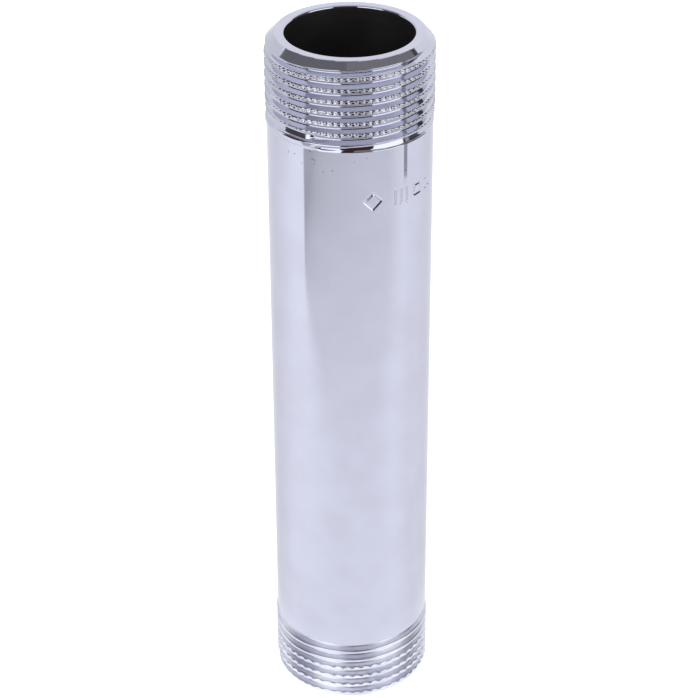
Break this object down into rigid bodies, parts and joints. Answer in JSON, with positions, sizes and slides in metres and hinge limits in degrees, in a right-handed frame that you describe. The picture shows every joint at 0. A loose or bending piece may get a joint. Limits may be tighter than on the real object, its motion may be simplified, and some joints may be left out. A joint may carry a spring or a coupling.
{
  "type": "threaded pipe nipple",
  "caption": "Long chromed barrel nipple: a straight tube with a plain through bore and a male parallel pipe thread, chamfered and serrated, on each end.",
  "frame": {"origin": "on the tube's axis, in the plane of the lower end face", "axes": "+Z along the tube's axis from the lower end to the upper end, which has the longer thread; -Y is the side seen from the front"},
  "size_m": [0.0264, 0.0264, 0.12],
  "materials": {
    "chrome_plate": "bright chrome plate over brass, polished barrel, cut and serrated threads, dull dark bore"
  },
  "bodies": {
    "root": {"nipple_body": "chrome_plate"}
  },
  "joints": []
}
